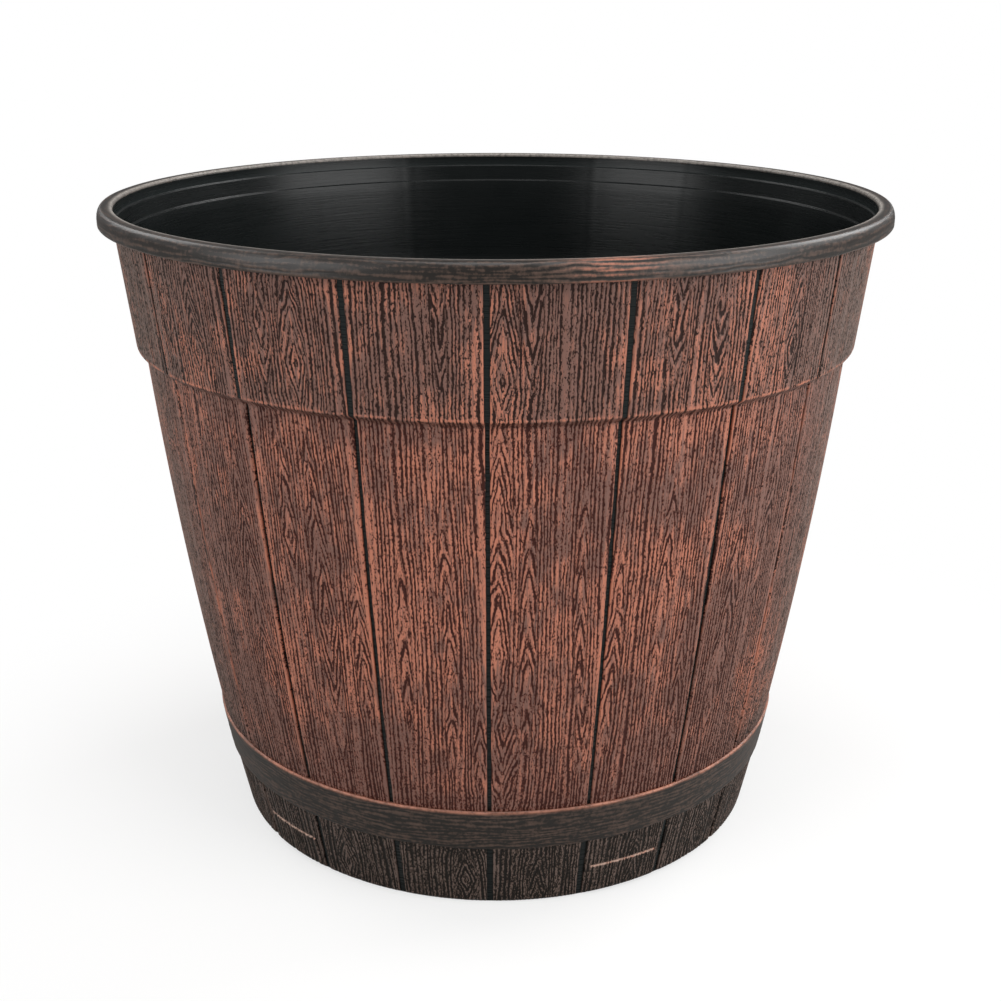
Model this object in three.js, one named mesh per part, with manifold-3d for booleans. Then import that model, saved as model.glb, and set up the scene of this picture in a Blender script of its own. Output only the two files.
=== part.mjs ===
// Barrel planter: a pot moulded in one piece, shaped as staves behind a hoop, and the
// push-in plugs that close its drain holes. Millimetres, +Z up, the foot stands on z = 0.
// Azimuths are in degrees, from the front (-Y) round towards +X.
import * as THREE from "three";
import { mergeVertices } from "three/addons/utils/BufferGeometryUtils.js";
import Module from "manifold-3d";

// ---- Driving dimensions ----
// Overall
const potHeight = 250.4;
const rimDiameter = 304;
const baseDiameter = 217.6;
const wallThickness = 2.4;

// Rim: a flange that turns down into a lip
const lipDepth = 6.7;
const lipOverhang = 5.7; // from the top of the band out to the lip
const lipThickness = 2.2;
const lipEdge = 0.7;
const flangeThickness = 2.4;
const crownWidth = 2.1; // rounded outer top corner of the rim
const crownHeight = 4.1;
const rimInnerEdge = 1;
const neckStep = 1.3; // the wall stands out this far again inside the lip
const neckRise = 1.2;

// Ledge inside, where a stacked pot would rest
const ledgeDepth = 12.2; // below the top of the rim
const ledgeWidth = 0.8;
const neckFlare = 1.8;

// Band below the rim, and the shoulder under it
const bandHeight = 45.2;
const bandTaper = 5.1;
const bandStep = 3.3;
const shoulderHeight = 3.1;
const innerShoulderLift = 1.6;

// Staved wall
const wallBelly = 1.9; // how far its middle stands out from a straight taper

// Hoop
const hoopHeight = 17.4;
const hoopProud = 0.9;
const hoopEdge = 0.5;

// Foot and floor
const footHeight = 27.2;
const footFlare = 5.6;
const footCorner = 1;
const skirtThickness = 3;
const floorClearance = 13; // from the ground to the floor's underside
const floorThickness = 3;
const floorFillet = 6;
const undersideFillet = 2;

// Seams between staves
const staveCount = 20;
const seamAzimuth = -1.1;
const wallSeamWidth = 1.6;
const bandSeamWidth = 2.6;
const footSeamWidth = 2.8;
const seamDepth = 1.1;
const bandSeamDepth = 0.7; // shallower, because the wall is thinner above the ledge
const seamEndGap = 0.4; // a seam stops this short of the hoop and of the lip

// Insert panels round the foot, one over each drain
const drainCount = 5;
const drainAzimuth = 25.9;
const panelWidth = 28.5;
const panelHeight = 14;
const panelProud = 0.4;

// Drain holes, each with a seat for its plug
const drainRadius = 6.5;
const drainInset = 34; // from the base's edge in to the hole's centre
const seatDepth = 1.5;
const seatClearance = 0.5;
const bossDrop = 2.5;
const bossWall = 3;

// Ribs under the floor
const ribCount = 10;
const ribThickness = 2;
const ribDepth = 6;
const hubRadius = 20;

// Drain plug
const plugFlangeRadius = 11;
const plugFlangeThickness = 2.2;
const plugFlangeEdge = 0.7;
const plugDome = 0.6;
const plugStemClearance = 0.3;
const plugWall = 1.8;
const plugReach = 3; // how far the stem passes below the boss
const plugLead = 0.8;
const gripWidth = 12;
const gripHeight = 4.5;
const gripThickness = 2.6;
const gripCorner = 2.5;

// Facets
const potFacets = 60;
const roundFacets = 24; // holes, bosses and plugs
const wallSteps = 4;
const shoulderSteps = 3;
const cornerSteps = 2;
const joinDepth = 0.5; // how far joined shapes run into each other
const cutMargin = 5; // how far a cutter passes the surface it cuts

// ---- Levels and radii that follow from them ----
const rimRadius = rimDiameter / 2;
const baseRadius = baseDiameter / 2;
const lipBottom = potHeight - lipDepth;
const bandBottom = lipBottom - bandHeight;
const wallTop = bandBottom - shoulderHeight;
const hoopTop = footHeight + hoopHeight;
const floorTop = floorClearance + floorThickness;
const ledgeLevel = potHeight - ledgeDepth;

const bandTopRadius = rimRadius - lipOverhang;
const bandBottomRadius = bandTopRadius - bandTaper;
const wallTopRadius = bandBottomRadius - bandStep;
const footTopRadius = baseRadius + footFlare;

const drainPitchRadius = baseRadius - drainInset;
const seatRadius = plugFlangeRadius + seatClearance;
const seatLevel = floorTop - seatDepth;
const bossBottom = floorClearance - bossDrop;

const staveAngle = 360 / staveCount;
const drainAngle = 360 / drainCount;

// ---- Outline of the outside, as a radius at each level ----
const { lerp, smoothstep, degToRad } = THREE.MathUtils;

function footRadius(z) {
  return lerp(baseRadius, footTopRadius, z / footHeight);
}

function wallRadius(z) {
  const rise = (z - footHeight) / (wallTop - footHeight);
  return lerp(footTopRadius, wallTopRadius, rise) + 4 * wallBelly * rise * (1 - rise);
}

function bandRadius(z) {
  return lerp(bandBottomRadius, bandTopRadius, (z - bandBottom) / bandHeight);
}

function shoulderRadius(z) {
  return lerp(wallTopRadius, bandBottomRadius, smoothstep(z, wallTop, bandBottom));
}

function outsideRadius(z) {
  if (z < footHeight) return footRadius(z);
  if (z < wallTop) return wallRadius(z);
  if (z < bandBottom) return shoulderRadius(z);
  return bandRadius(z);
}

// Levels from one height to another, both included
function levels(from, to, steps) {
  return Array.from({ length: steps + 1 }, (_, i) => lerp(from, to, i / steps));
}

const point = (r, z) => new THREE.Vector2(r, z);

// A quarter of an ellipse about (r, z), from one angle to another
function corner(r, z, width, height, fromDegrees, toDegrees) {
  return levels(fromDegrees, toDegrees, cornerSteps).map((angle) =>
    point(r + width * Math.cos(degToRad(angle)), z + height * Math.sin(degToRad(angle))),
  );
}

const bandLevels = (toLevel) => [...levels(wallTop, bandBottom, shoulderSteps), toLevel];
const stavedLevels = (fromLevel, toLevel) => [
  ...levels(fromLevel, wallTop, wallSteps).slice(0, -1),
  ...bandLevels(toLevel),
];

// The outside at some levels, moved in or out by a distance
function outline(stops, offset) {
  return stops.map((z) => point(outsideRadius(z) + offset, z));
}

// ---- Solids ----
const wasm = await Module();
wasm.setup();

// Turns a closed three.js geometry into a solid that can be joined and cut
function solidOf(geometry) {
  const bare = geometry.index ? geometry.toNonIndexed() : geometry.clone();
  bare.deleteAttribute("normal");
  bare.deleteAttribute("uv");
  const merged = mergeVertices(bare);
  const corners = merged.index.array;
  const whole = [];
  for (let i = 0; i < corners.length; i += 3) {
    const [a, b, c] = corners.slice(i, i + 3);
    if (a !== b && b !== c && c !== a) whole.push(a, b, c);
  }
  return new wasm.Manifold(new wasm.Mesh({
    numProp: 3,
    vertProperties: new Float32Array(merged.attributes.position.array),
    triVerts: new Uint32Array(whole),
  }));
}

function geometryOf(solid) {
  const mesh = solid.getMesh();
  const geometry = new THREE.BufferGeometry();
  geometry.setAttribute("position", new THREE.BufferAttribute(mesh.vertProperties, 3));
  geometry.setIndex(new THREE.BufferAttribute(mesh.triVerts, 1));
  return geometry;
}

// Turns a profile of (radius, level) points about the Z axis
function revolve(profile, facets, startDegrees = 0) {
  return new THREE.LatheGeometry(profile, facets, degToRad(startDegrees)).rotateX(Math.PI / 2);
}

// Stands a flat profile of (radius, level) points up at an azimuth, with a thickness
function upright(profile, thickness, azimuth) {
  return new THREE.ExtrudeGeometry(new THREE.Shape(profile), { depth: thickness, bevelEnabled: false })
    .translate(0, 0, -thickness / 2)
    .rotateX(Math.PI / 2)
    .rotateZ(degToRad(azimuth - 90));
}

// A round bar on a vertical axis, from one level to another
function bar(radius, fromLevel, toLevel, x, y) {
  return new THREE.CylinderGeometry(radius, radius, toLevel - fromLevel, roundFacets)
    .rotateX(Math.PI / 2)
    .translate(x, y, (fromLevel + toLevel) / 2);
}

// The place at a radius and azimuth, on the ground plane
function placeAt(radius, azimuth) {
  return [radius * Math.sin(degToRad(azimuth)), -radius * Math.cos(degToRad(azimuth))];
}

const repeat = (count, first, step) => Array.from({ length: count }, (_, i) => first + i * step);
const drainAzimuths = repeat(drainCount, drainAzimuth, drainAngle);

// ---- The pot's wall, rim and floor as one profile ----
function underside() {
  const skirtTop = footRadius(floorClearance) - skirtThickness;
  return [
    point(0, floorClearance),
    ...corner(skirtTop - undersideFillet, floorClearance - undersideFillet,
      undersideFillet, undersideFillet, 90, 0),
    point(baseRadius - skirtThickness, 0),
  ];
}

function footOutline() {
  const cornerRadius = footRadius(footCorner) - footCorner;
  return [
    ...corner(cornerRadius, footCorner, footCorner, footCorner, -90, 0),
    point(footRadius(footHeight), footHeight),
  ];
}

function hoopOutline() {
  const face = (z) => wallRadius(z) + hoopProud;
  return [
    point(face(footHeight) - hoopEdge, footHeight),
    point(face(footHeight + hoopEdge), footHeight + hoopEdge),
    point(face(hoopTop - hoopEdge), hoopTop - hoopEdge),
    point(face(hoopTop) - hoopEdge, hoopTop),
  ];
}

function rimOutline() {
  const neckRadius = bandTopRadius + neckStep;
  const lipInside = rimRadius - lipThickness;
  const flangeUnderside = potHeight - flangeThickness;
  const innerRadius = bandRadius(ledgeLevel) - wallThickness + ledgeWidth + neckFlare;
  return [
    point(neckRadius, lipBottom + neckRise),
    point(neckRadius, flangeUnderside),
    point(lipInside, flangeUnderside),
    point(lipInside, lipBottom),
    point(rimRadius - lipEdge, lipBottom),
    ...corner(rimRadius - crownWidth, potHeight - crownHeight, crownWidth, crownHeight, 0, 90),
    ...corner(innerRadius + rimInnerEdge, potHeight - rimInnerEdge, rimInnerEdge, rimInnerEdge, 90, 180),
    point(innerRadius - neckFlare, ledgeLevel),
  ];
}

function insideOutline() {
  const inner = (z) => outsideRadius(z) - wallThickness;
  const wallLevels = levels(wallTop, floorTop + floorFillet, wallSteps);
  const shoulder = levels(bandBottom, wallTop, shoulderSteps);
  return [
    point(inner(ledgeLevel), ledgeLevel),
    ...shoulder.map((z) => point(inner(z), z + innerShoulderLift)),
    ...wallLevels.slice(1).map((z) => point(inner(z), z)),
    ...corner(inner(floorTop + floorFillet) - floorFillet, floorTop + floorFillet,
      floorFillet, floorFillet, 0, -90).slice(1),
    point(0, floorTop),
  ];
}

function potProfile() {
  return [
    ...underside(),
    ...footOutline(),
    ...hoopOutline(),
    ...outline(stavedLevels(hoopTop, lipBottom), 0),
    ...rimOutline(),
    ...insideOutline(),
  ];
}

// ---- What is joined to the pot or cut from it ----
// The raised panel that a mould insert leaves on the foot, at an azimuth
function insertPanel(azimuth) {
  const spread = THREE.MathUtils.radToDeg(panelWidth / baseRadius) / 2;
  const face = [
    point(footRadius(footCorner) - joinDepth, footCorner),
    point(footRadius(footCorner) + panelProud, footCorner),
    point(footRadius(panelHeight) + panelProud, panelHeight),
    point(footRadius(panelHeight) - joinDepth, panelHeight),
    point(footRadius(footCorner) - joinDepth, footCorner),
  ];
  const reach = 2 * rimRadius;
  const [leftX, leftY] = placeAt(reach, azimuth - spread);
  const [rightX, rightY] = placeAt(reach, azimuth + spread);
  const wedge = new THREE.Shape([point(0, 0), point(leftX, leftY), point(rightX, rightY)]);
  const sector = new THREE.ExtrudeGeometry(wedge, { depth: potHeight, bevelEnabled: false });
  return solidOf(revolve(face, potFacets, facetStart)).intersect(solidOf(sector));
}

function rib(azimuth) {
  const outer = footRadius(floorClearance) - skirtThickness + joinDepth;
  const profile = [
    point(hubRadius, floorClearance - ribDepth),
    point(outer, floorClearance - ribDepth),
    point(outer, floorClearance + joinDepth),
    point(hubRadius, floorClearance + joinDepth),
  ];
  return solidOf(upright(profile, ribThickness, azimuth));
}

function hubRing() {
  const inside = hubRadius - ribThickness / 2;
  const outside = hubRadius + ribThickness / 2;
  return solidOf(revolve([
    point(inside, floorClearance - ribDepth),
    point(outside, floorClearance - ribDepth),
    point(outside, floorClearance + joinDepth),
    point(inside, floorClearance + joinDepth),
    point(inside, floorClearance - ribDepth),
  ], roundFacets));
}

function drainBoss(azimuth) {
  const [x, y] = placeAt(drainPitchRadius, azimuth);
  return solidOf(bar(drainRadius + bossWall, bossBottom, floorClearance + joinDepth, x, y));
}

function drainCut(azimuth) {
  const [x, y] = placeAt(drainPitchRadius, azimuth);
  const hole = solidOf(bar(drainRadius, bossBottom - cutMargin, floorTop + cutMargin, x, y));
  const seat = solidOf(bar(seatRadius, seatLevel, floorTop + cutMargin, x, y));
  return hole.add(seat);
}

// The cuts for a seam follow the outside at the seam's depth. It is wider and shallower on
// the band, from the shoulder up, and wider on the foot, below the hoop
function seamCuts(azimuth) {
  const outside = rimRadius + cutMargin;
  const wallStops = stavedLevels(hoopTop + seamEndGap, bandBottom + seamEndGap);
  const stretches = [
    [wallSeamWidth, seamDepth, wallStops],
    [bandSeamWidth, bandSeamDepth, bandLevels(lipBottom - seamEndGap)],
    [footSeamWidth, seamDepth, [-cutMargin, footHeight - seamEndGap]],
  ];
  return stretches.map(([width, depth, stops]) => {
    const bottom = outline(stops, -depth);
    const opening = [point(outside, stops.at(-1)), point(outside, stops[0])];
    return solidOf(upright([...bottom, ...opening], width, azimuth));
  });
}

// Facets are turned so that each seam runs down the middle of one
const facetStart = seamAzimuth + 180 / potFacets;

function buildPot() {
  let pot = solidOf(revolve(potProfile(), potFacets, facetStart));
  const ribStep = 360 / ribCount;
  const joined = [
    hubRing(),
    ...repeat(ribCount, drainAzimuth + ribStep / 2, ribStep).map(rib),
    ...drainAzimuths.map(drainBoss),
    ...drainAzimuths.map(insertPanel),
  ];
  const cuts = [
    ...drainAzimuths.map(drainCut),
    ...repeat(staveCount, seamAzimuth, staveAngle).flatMap(seamCuts),
  ];
  for (const piece of joined) pot = pot.add(piece);
  for (const cut of cuts) pot = pot.subtract(cut);
  return geometryOf(pot);
}

// ---- Drain plug: a hollow stem, a flange that rests in its seat, and a grip ----
// Its own origin is the middle of the flange's underside
function plugBody() {
  const stemRadius = drainRadius - plugStemClearance;
  const hollowRadius = stemRadius - plugWall;
  const stemBottom = bossBottom - plugReach - seatLevel;
  const flangeTop = plugFlangeThickness;
  return solidOf(revolve([
    point(0, 0),
    point(hollowRadius, 0),
    point(hollowRadius, stemBottom),
    point(stemRadius - plugLead, stemBottom),
    point(stemRadius, stemBottom + plugLead),
    point(stemRadius, 0),
    point(plugFlangeRadius - plugFlangeEdge / 2, 0),
    point(plugFlangeRadius, plugFlangeEdge / 2),
    point(plugFlangeRadius, flangeTop - plugFlangeEdge),
    point(plugFlangeRadius - plugFlangeEdge, flangeTop),
    point(0, flangeTop + plugDome),
  ], roundFacets));
}

function plugGrip() {
  const half = gripWidth / 2;
  const top = plugFlangeThickness + plugDome + gripHeight;
  const tab = new THREE.Shape();
  tab.moveTo(-half, plugFlangeThickness - joinDepth);
  tab.lineTo(half, plugFlangeThickness - joinDepth);
  tab.lineTo(half, top - gripCorner);
  tab.absarc(half - gripCorner, top - gripCorner, gripCorner, 0, Math.PI / 2, false);
  tab.lineTo(gripCorner - half, top);
  tab.absarc(gripCorner - half, top - gripCorner, gripCorner, Math.PI / 2, Math.PI, false);
  const plate = { depth: gripThickness, bevelEnabled: false, curveSegments: cornerSteps };
  return solidOf(new THREE.ExtrudeGeometry(tab, plate)
    .translate(0, 0, -gripThickness / 2)
    .rotateX(Math.PI / 2));
}

// ---- The object ----
const potPlastic = new THREE.MeshStandardMaterial({ color: 0x6b3a2a, roughness: 0.45, metalness: 0 });
const plugRubber = new THREE.MeshStandardMaterial({ color: 0x1b1c1c, roughness: 0.7, metalness: 0 });

const planter = new THREE.Group();

const potShell = new THREE.Mesh(buildPot(), potPlastic);
potShell.name = "pot_shell";
planter.add(potShell);

const plugGeometry = geometryOf(plugBody().add(plugGrip()));
drainAzimuths.forEach((azimuth, index) => {
  const plug = new THREE.Mesh(plugGeometry, plugRubber);
  plug.name = `drain_plug_${index + 1}`;
  plug.position.set(...placeAt(drainPitchRadius, azimuth), seatLevel);
  plug.rotation.z = degToRad(azimuth);
  planter.add(plug);
});

export default planter;
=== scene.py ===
"""Looks of the barrel planter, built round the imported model.

Shapes are worked out in millimetres and written to the meshes in metres. Azimuths are in
degrees from the front (-Y) round towards +X, as seen from above.
"""

import bpy
import numpy as np
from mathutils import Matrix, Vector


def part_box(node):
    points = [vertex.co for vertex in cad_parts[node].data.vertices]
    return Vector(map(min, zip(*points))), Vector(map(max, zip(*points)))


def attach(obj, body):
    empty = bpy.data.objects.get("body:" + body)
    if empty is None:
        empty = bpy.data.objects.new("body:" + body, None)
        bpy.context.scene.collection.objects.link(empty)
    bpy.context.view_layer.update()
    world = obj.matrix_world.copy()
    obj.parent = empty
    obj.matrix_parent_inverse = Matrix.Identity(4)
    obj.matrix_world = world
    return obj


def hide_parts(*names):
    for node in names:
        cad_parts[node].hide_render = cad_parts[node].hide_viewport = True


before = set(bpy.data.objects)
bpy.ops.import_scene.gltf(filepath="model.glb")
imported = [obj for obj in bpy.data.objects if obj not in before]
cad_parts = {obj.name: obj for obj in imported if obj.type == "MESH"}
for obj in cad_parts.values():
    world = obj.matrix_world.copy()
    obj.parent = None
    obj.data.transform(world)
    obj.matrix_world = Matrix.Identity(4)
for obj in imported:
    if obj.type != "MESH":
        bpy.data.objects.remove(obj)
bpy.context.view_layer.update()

# ---- Pot body ----
# The moulding itself, in black polypropylene: wall, inside ledge, floor with five drain
# seats, and the skirt that it stands on. The polished core of the mould leaves its inside
# glossy. The grained faces of the staves stand on its outside, one seam's depth proud.

MM = 0.001
pot_low, pot_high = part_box("pot_shell")
POT_HEIGHT = pot_high.z / MM
RIM_RADIUS = (pot_high.x - pot_low.x) / 2 / MM
BASE_RADIUS = 108.8
WALL_THICKNESS = 2.4

LIP_BOTTOM = POT_HEIGHT - 6.7
BAND_BOTTOM = LIP_BOTTOM - 45.2
WALL_TOP = BAND_BOTTOM - 3.1
FOOT_TOP = 27.2
HOOP_TOP = FOOT_TOP + 17.4
FOOT_TOP_RADIUS = BASE_RADIUS + 5.6
BAND_TOP_RADIUS = RIM_RADIUS - 5.6
BAND_BOTTOM_RADIUS = BAND_TOP_RADIUS - 5.1
WALL_TOP_RADIUS = BAND_BOTTOM_RADIUS - 3.3
WALL_BELLY = 1.9
NECK_RADIUS = BAND_TOP_RADIUS + 1.3

LEDGE_LEVEL = POT_HEIGHT - 12.2
LEDGE_WIDTH = 0.8
NECK_FLARE = 1.8
STEP_LEVEL = POT_HEIGHT - 5.4
INNER_SHOULDER_LIFT = 1.6

FLOOR_TOP = 16.0
FLOOR_UNDERSIDE = 13.0
FLOOR_FILLET = 6.0
UNDERSIDE_FILLET = 2.0
SKIRT_THICKNESS = 3.0

STAVE_COUNT = 20
STAVE_ANGLE = 360 / STAVE_COUNT
SEAM_AZIMUTH = -1.1
SEAM_DEPTH = 1.1
BAND_SEAM_DEPTH = 0.7
SINK_DEPTH = 0.1
SINK_WIDTH = 0.4

DRAIN_COUNT = 5
DRAIN_AZIMUTH = 25.9
DRAIN_ANGLE = 360 / DRAIN_COUNT
DRAIN_PITCH_RADIUS = BASE_RADIUS - 34
DRAIN_RADIUS = 6.5
SEAT_RADIUS = 11.5
SEAT_LEVEL = FLOOR_TOP - 1.5
BOSS_RADIUS = DRAIN_RADIUS + 3
BOSS_BOTTOM = FLOOR_UNDERSIDE - 2.5

POT_COLUMNS = 480
MAP_MARGIN = 0.002
MAP_FLOOR_TOP = 0.19

BLACK = (0.0035, 0.0048, 0.0048, 1)
BLACK_DUSTY = (0.006, 0.0075, 0.0075, 1)
BLACK_OUTSIDE = (0.0105, 0.0135, 0.0135, 1)


def smooth(low, high, value):
    """0 below low, 1 above high, and 3t^2 - 2t^3 between them."""
    t = np.clip((value - low) / (high - low), 0, 1)
    return t * t * (3 - 2 * t)


def bell(offset, width):
    """1 where offset is 0, and falling to both sides as exp(-(offset / width)^2)."""
    return np.exp(-((offset / width) ** 2))


def wrapped(value, period=360):
    """A place on a circle, from minus half its period to half of it."""
    return (value + period / 2) % period - period / 2


def outside_radius(z):
    """Radius of the outside at height z: a straight flare on the foot, a taper on the wall
    that stands out by a parabola in the middle, a smooth step at the shoulder, and a
    straight flare on the band."""
    z = np.asarray(z, float)
    foot = BASE_RADIUS + (FOOT_TOP_RADIUS - BASE_RADIUS) * z / FOOT_TOP
    rise = (z - FOOT_TOP) / (WALL_TOP - FOOT_TOP)
    wall = FOOT_TOP_RADIUS + (WALL_TOP_RADIUS - FOOT_TOP_RADIUS) * rise
    wall = wall + 4 * WALL_BELLY * rise * (1 - rise)
    step = smooth(WALL_TOP, BAND_BOTTOM, z)
    shoulder = WALL_TOP_RADIUS + (BAND_BOTTOM_RADIUS - WALL_TOP_RADIUS) * step
    flare = (z - BAND_BOTTOM) / (LIP_BOTTOM - BAND_BOTTOM)
    band = BAND_BOTTOM_RADIUS + (BAND_TOP_RADIUS - BAND_BOTTOM_RADIUS) * flare
    return np.select([z < FOOT_TOP, z < WALL_TOP, z < BAND_BOTTOM], [foot, wall, shoulder], band)


def seam_bottom(z):
    """Radius of the bottom of the seams at height z, which lies less deep on the band."""
    less = (SEAM_DEPTH - BAND_SEAM_DEPTH) * smooth(WALL_TOP, BAND_BOTTOM, z)
    return outside_radius(z) - SEAM_DEPTH + less


def corner(r, z, width, height, start, end, count=6):
    """Points (radius, height) on an ellipse's arc about (r, z), from one angle to another."""
    angle = np.radians(np.linspace(start, end, count))
    return np.stack([r + width * np.cos(angle), z + height * np.sin(angle)], 1)


def near(r, z, offsets):
    """Points (radius, height) by their offsets from one point."""
    return np.array([r, z]) + offsets


def on_azimuth(radius, azimuth, z):
    """Points at a radius, an azimuth and a height: (r sin a, -r cos a, z)."""
    a = np.radians(azimuth)
    radius, a, z = np.broadcast_arrays(radius, a, z)
    return np.stack([radius * np.sin(a), -radius * np.cos(a), z], -1)


def grid_quads(rows, columns, closed_rows=False):
    """Corners of the quads of a grid whose points are numbered row by row and whose columns
    close on themselves. Its rows close too if closed_rows is set."""
    last = rows if closed_rows else rows - 1
    r, c = np.meshgrid(np.arange(last), np.arange(columns), indexing="ij")
    up, on = (r + 1) % rows, (c + 1) % columns
    quads = np.stack([r * columns + c, r * columns + on, up * columns + on, up * columns + c], -1)
    return quads.reshape(-1, 4)


def end_caps(rows, columns, start):
    """A grid's first and last row as closing faces, its points numbered from start."""
    loop = np.arange(columns)
    return [loop[::-1] + start, loop + (rows - 1) * columns + start]


def merged(blocks):
    """Points and quads of several grids as one, numbered on from each grid to the next."""
    starts = np.cumsum([0] + [points[..., 0].size for points, _ in blocks])
    points = np.concatenate([points.reshape(-1, 3) for points, _ in blocks])
    return points, np.concatenate([quads + start for (_, quads), start in zip(blocks, starts)])


def turned(profile, columns, first_azimuth=0.0):
    """Turns a profile of (radius, height) points about the Z axis."""
    azimuth = first_azimuth + 360 / columns * np.arange(columns)
    return on_azimuth(profile[:, :1], azimuth, profile[:, 1:])


def placed(name, data):
    """A new object in the scene."""
    made = bpy.data.objects.new(name, data)
    bpy.context.scene.collection.objects.link(made)
    return made


def new_piece(name, points, quads, caps=(), layout=None, body="pot", stands_for="pot_shell"):
    """A piece from points in millimetres, rows of four corners, and longer rows for caps, with
    each corner's place on the piece's own map if layout gives them."""
    corners = np.concatenate([np.ravel(quads), *caps]).astype(np.int32)
    sizes = np.concatenate([np.full(len(quads), 4), [len(cap) for cap in caps]]).astype(int)
    starts = np.concatenate([[0], np.cumsum(sizes)[:-1]]).astype(np.int32)
    mesh = bpy.data.meshes.new(name)
    mesh.vertices.add(len(points))
    mesh.vertices.foreach_set("co", (points * MM).astype(np.float32).ravel())
    mesh.loops.add(len(corners))
    mesh.loops.foreach_set("vertex_index", corners)
    mesh.polygons.add(len(starts))
    mesh.polygons.foreach_set("loop_start", starts)
    mesh.update(calc_edges=True)
    if layout is not None:
        own_map = mesh.uv_layers.new(name="OFBake")
        own_map.data.foreach_set("uv", layout.astype(np.float32).ravel())
    mesh.shade_smooth()
    piece = placed(name, mesh)
    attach(piece, body)
    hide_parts(stands_for)
    return piece


def store(piece, name, values):
    """Keeps three values per vertex, which the materials read by name."""
    layer = piece.data.attributes.new(name, "FLOAT_VECTOR", "POINT")
    layer.data.foreach_set("vector", np.asarray(values, np.float32).reshape(-1))


def lay_out(across, along, box):
    """Where a grid's quads lie on the piece's own map: its columns and rows keep the spacing of
    across and along, and fill a box given as left, low, right and high."""
    spread = lambda at, low, high: low + (high - low) * (at - at[0]) / (at[-1] - at[0])
    u, v = spread(across, box[0], box[2]), spread(along, box[1], box[3])
    r, c = np.meshgrid(np.arange(len(v) - 1), np.arange(len(u) - 1), indexing="ij")
    corners = [(c, r), (c + 1, r), (c + 1, r + 1), (c, r + 1)]
    return np.stack([np.stack([u[i], v[j]], -1) for i, j in corners], -2).reshape(-1, 2)


def run_lengths(points, closed=False):
    """How far along a row of points each one is, back round to the first if closed is set."""
    points = np.concatenate([points, points[:1]]) if closed else points
    return np.concatenate([[0], np.cumsum(np.linalg.norm(np.diff(points, axis=0), axis=1))])


def wall_profile():
    """The wall in one run: out under the floor's edge, down and up the skirt, up the outside
    behind the staves, over the neck, and down the inside to the floor's edge."""
    skirt = lambda z: outside_radius(z) - SKIRT_THICKNESS
    inner = lambda z: outside_radius(z) - WALL_THICKNESS
    fillet_foot = FLOOR_UNDERSIDE - UNDERSIDE_FILLET
    skirt_top = skirt(fillet_foot) - UNDERSIDE_FILLET
    under = corner(skirt_top, fillet_foot, UNDERSIDE_FILLET, UNDERSIDE_FILLET, 90, 0)
    heights = np.concatenate([
        np.linspace(1, WALL_TOP, 40), np.linspace(WALL_TOP, BAND_BOTTOM, 8)[1:],
        np.linspace(BAND_BOTTOM, LIP_BOTTOM, 10)[1:],
    ])
    outside = np.stack([seam_bottom(heights), heights], 1)
    neck_inside = inner(LEDGE_LEVEL) + LEDGE_WIDTH
    lip_inside = neck_inside + NECK_FLARE
    ledge_edge = neck_inside - LEDGE_WIDTH
    neck = np.concatenate([
        [(NECK_RADIUS, LIP_BOTTOM + 1.2), (NECK_RADIUS, POT_HEIGHT - 1.2)],
        near(lip_inside, POT_HEIGHT, [(0.1, -1.2), (0, -1.3), (-0.02, -1.5)]),
        near(lip_inside, STEP_LEVEL, [(-0.1, 0.3), (-0.14, 0.1), (-0.3, 0), (-0.62, -0.04),
                                      (-0.72, -0.2), (-0.78, -0.6)]),
        near(neck_inside, LEDGE_LEVEL, [(0.11, 0.4), (0.06, 0.15), (-0.1, 0.02)]),
        near(ledge_edge, LEDGE_LEVEL, [(0.25, 0), (0.07, -0.07), (0, -0.25)]),
    ])
    inside = []
    for high, low, count, lift in ((LEDGE_LEVEL - 0.5, BAND_BOTTOM + 4, 9, 0),
                                   (BAND_BOTTOM, WALL_TOP, 9, INNER_SHOULDER_LIFT),
                                   (WALL_TOP - 2, FLOOR_TOP + FLOOR_FILLET, 36, 0)):
        z = np.linspace(high, low, count)
        inside.append(np.stack([inner(z), z + lift], 1))
    floor_edge = inner(FLOOR_TOP + FLOOR_FILLET) - FLOOR_FILLET
    fillet = corner(floor_edge, FLOOR_TOP + FLOOR_FILLET, FLOOR_FILLET, FLOOR_FILLET, 0, -90, 10)
    foot = np.array([(skirt(0), 0), (BASE_RADIUS - SEAM_DEPTH, 0)])
    return np.concatenate([under, foot, outside, neck, *inside, fillet[1:]])


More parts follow.
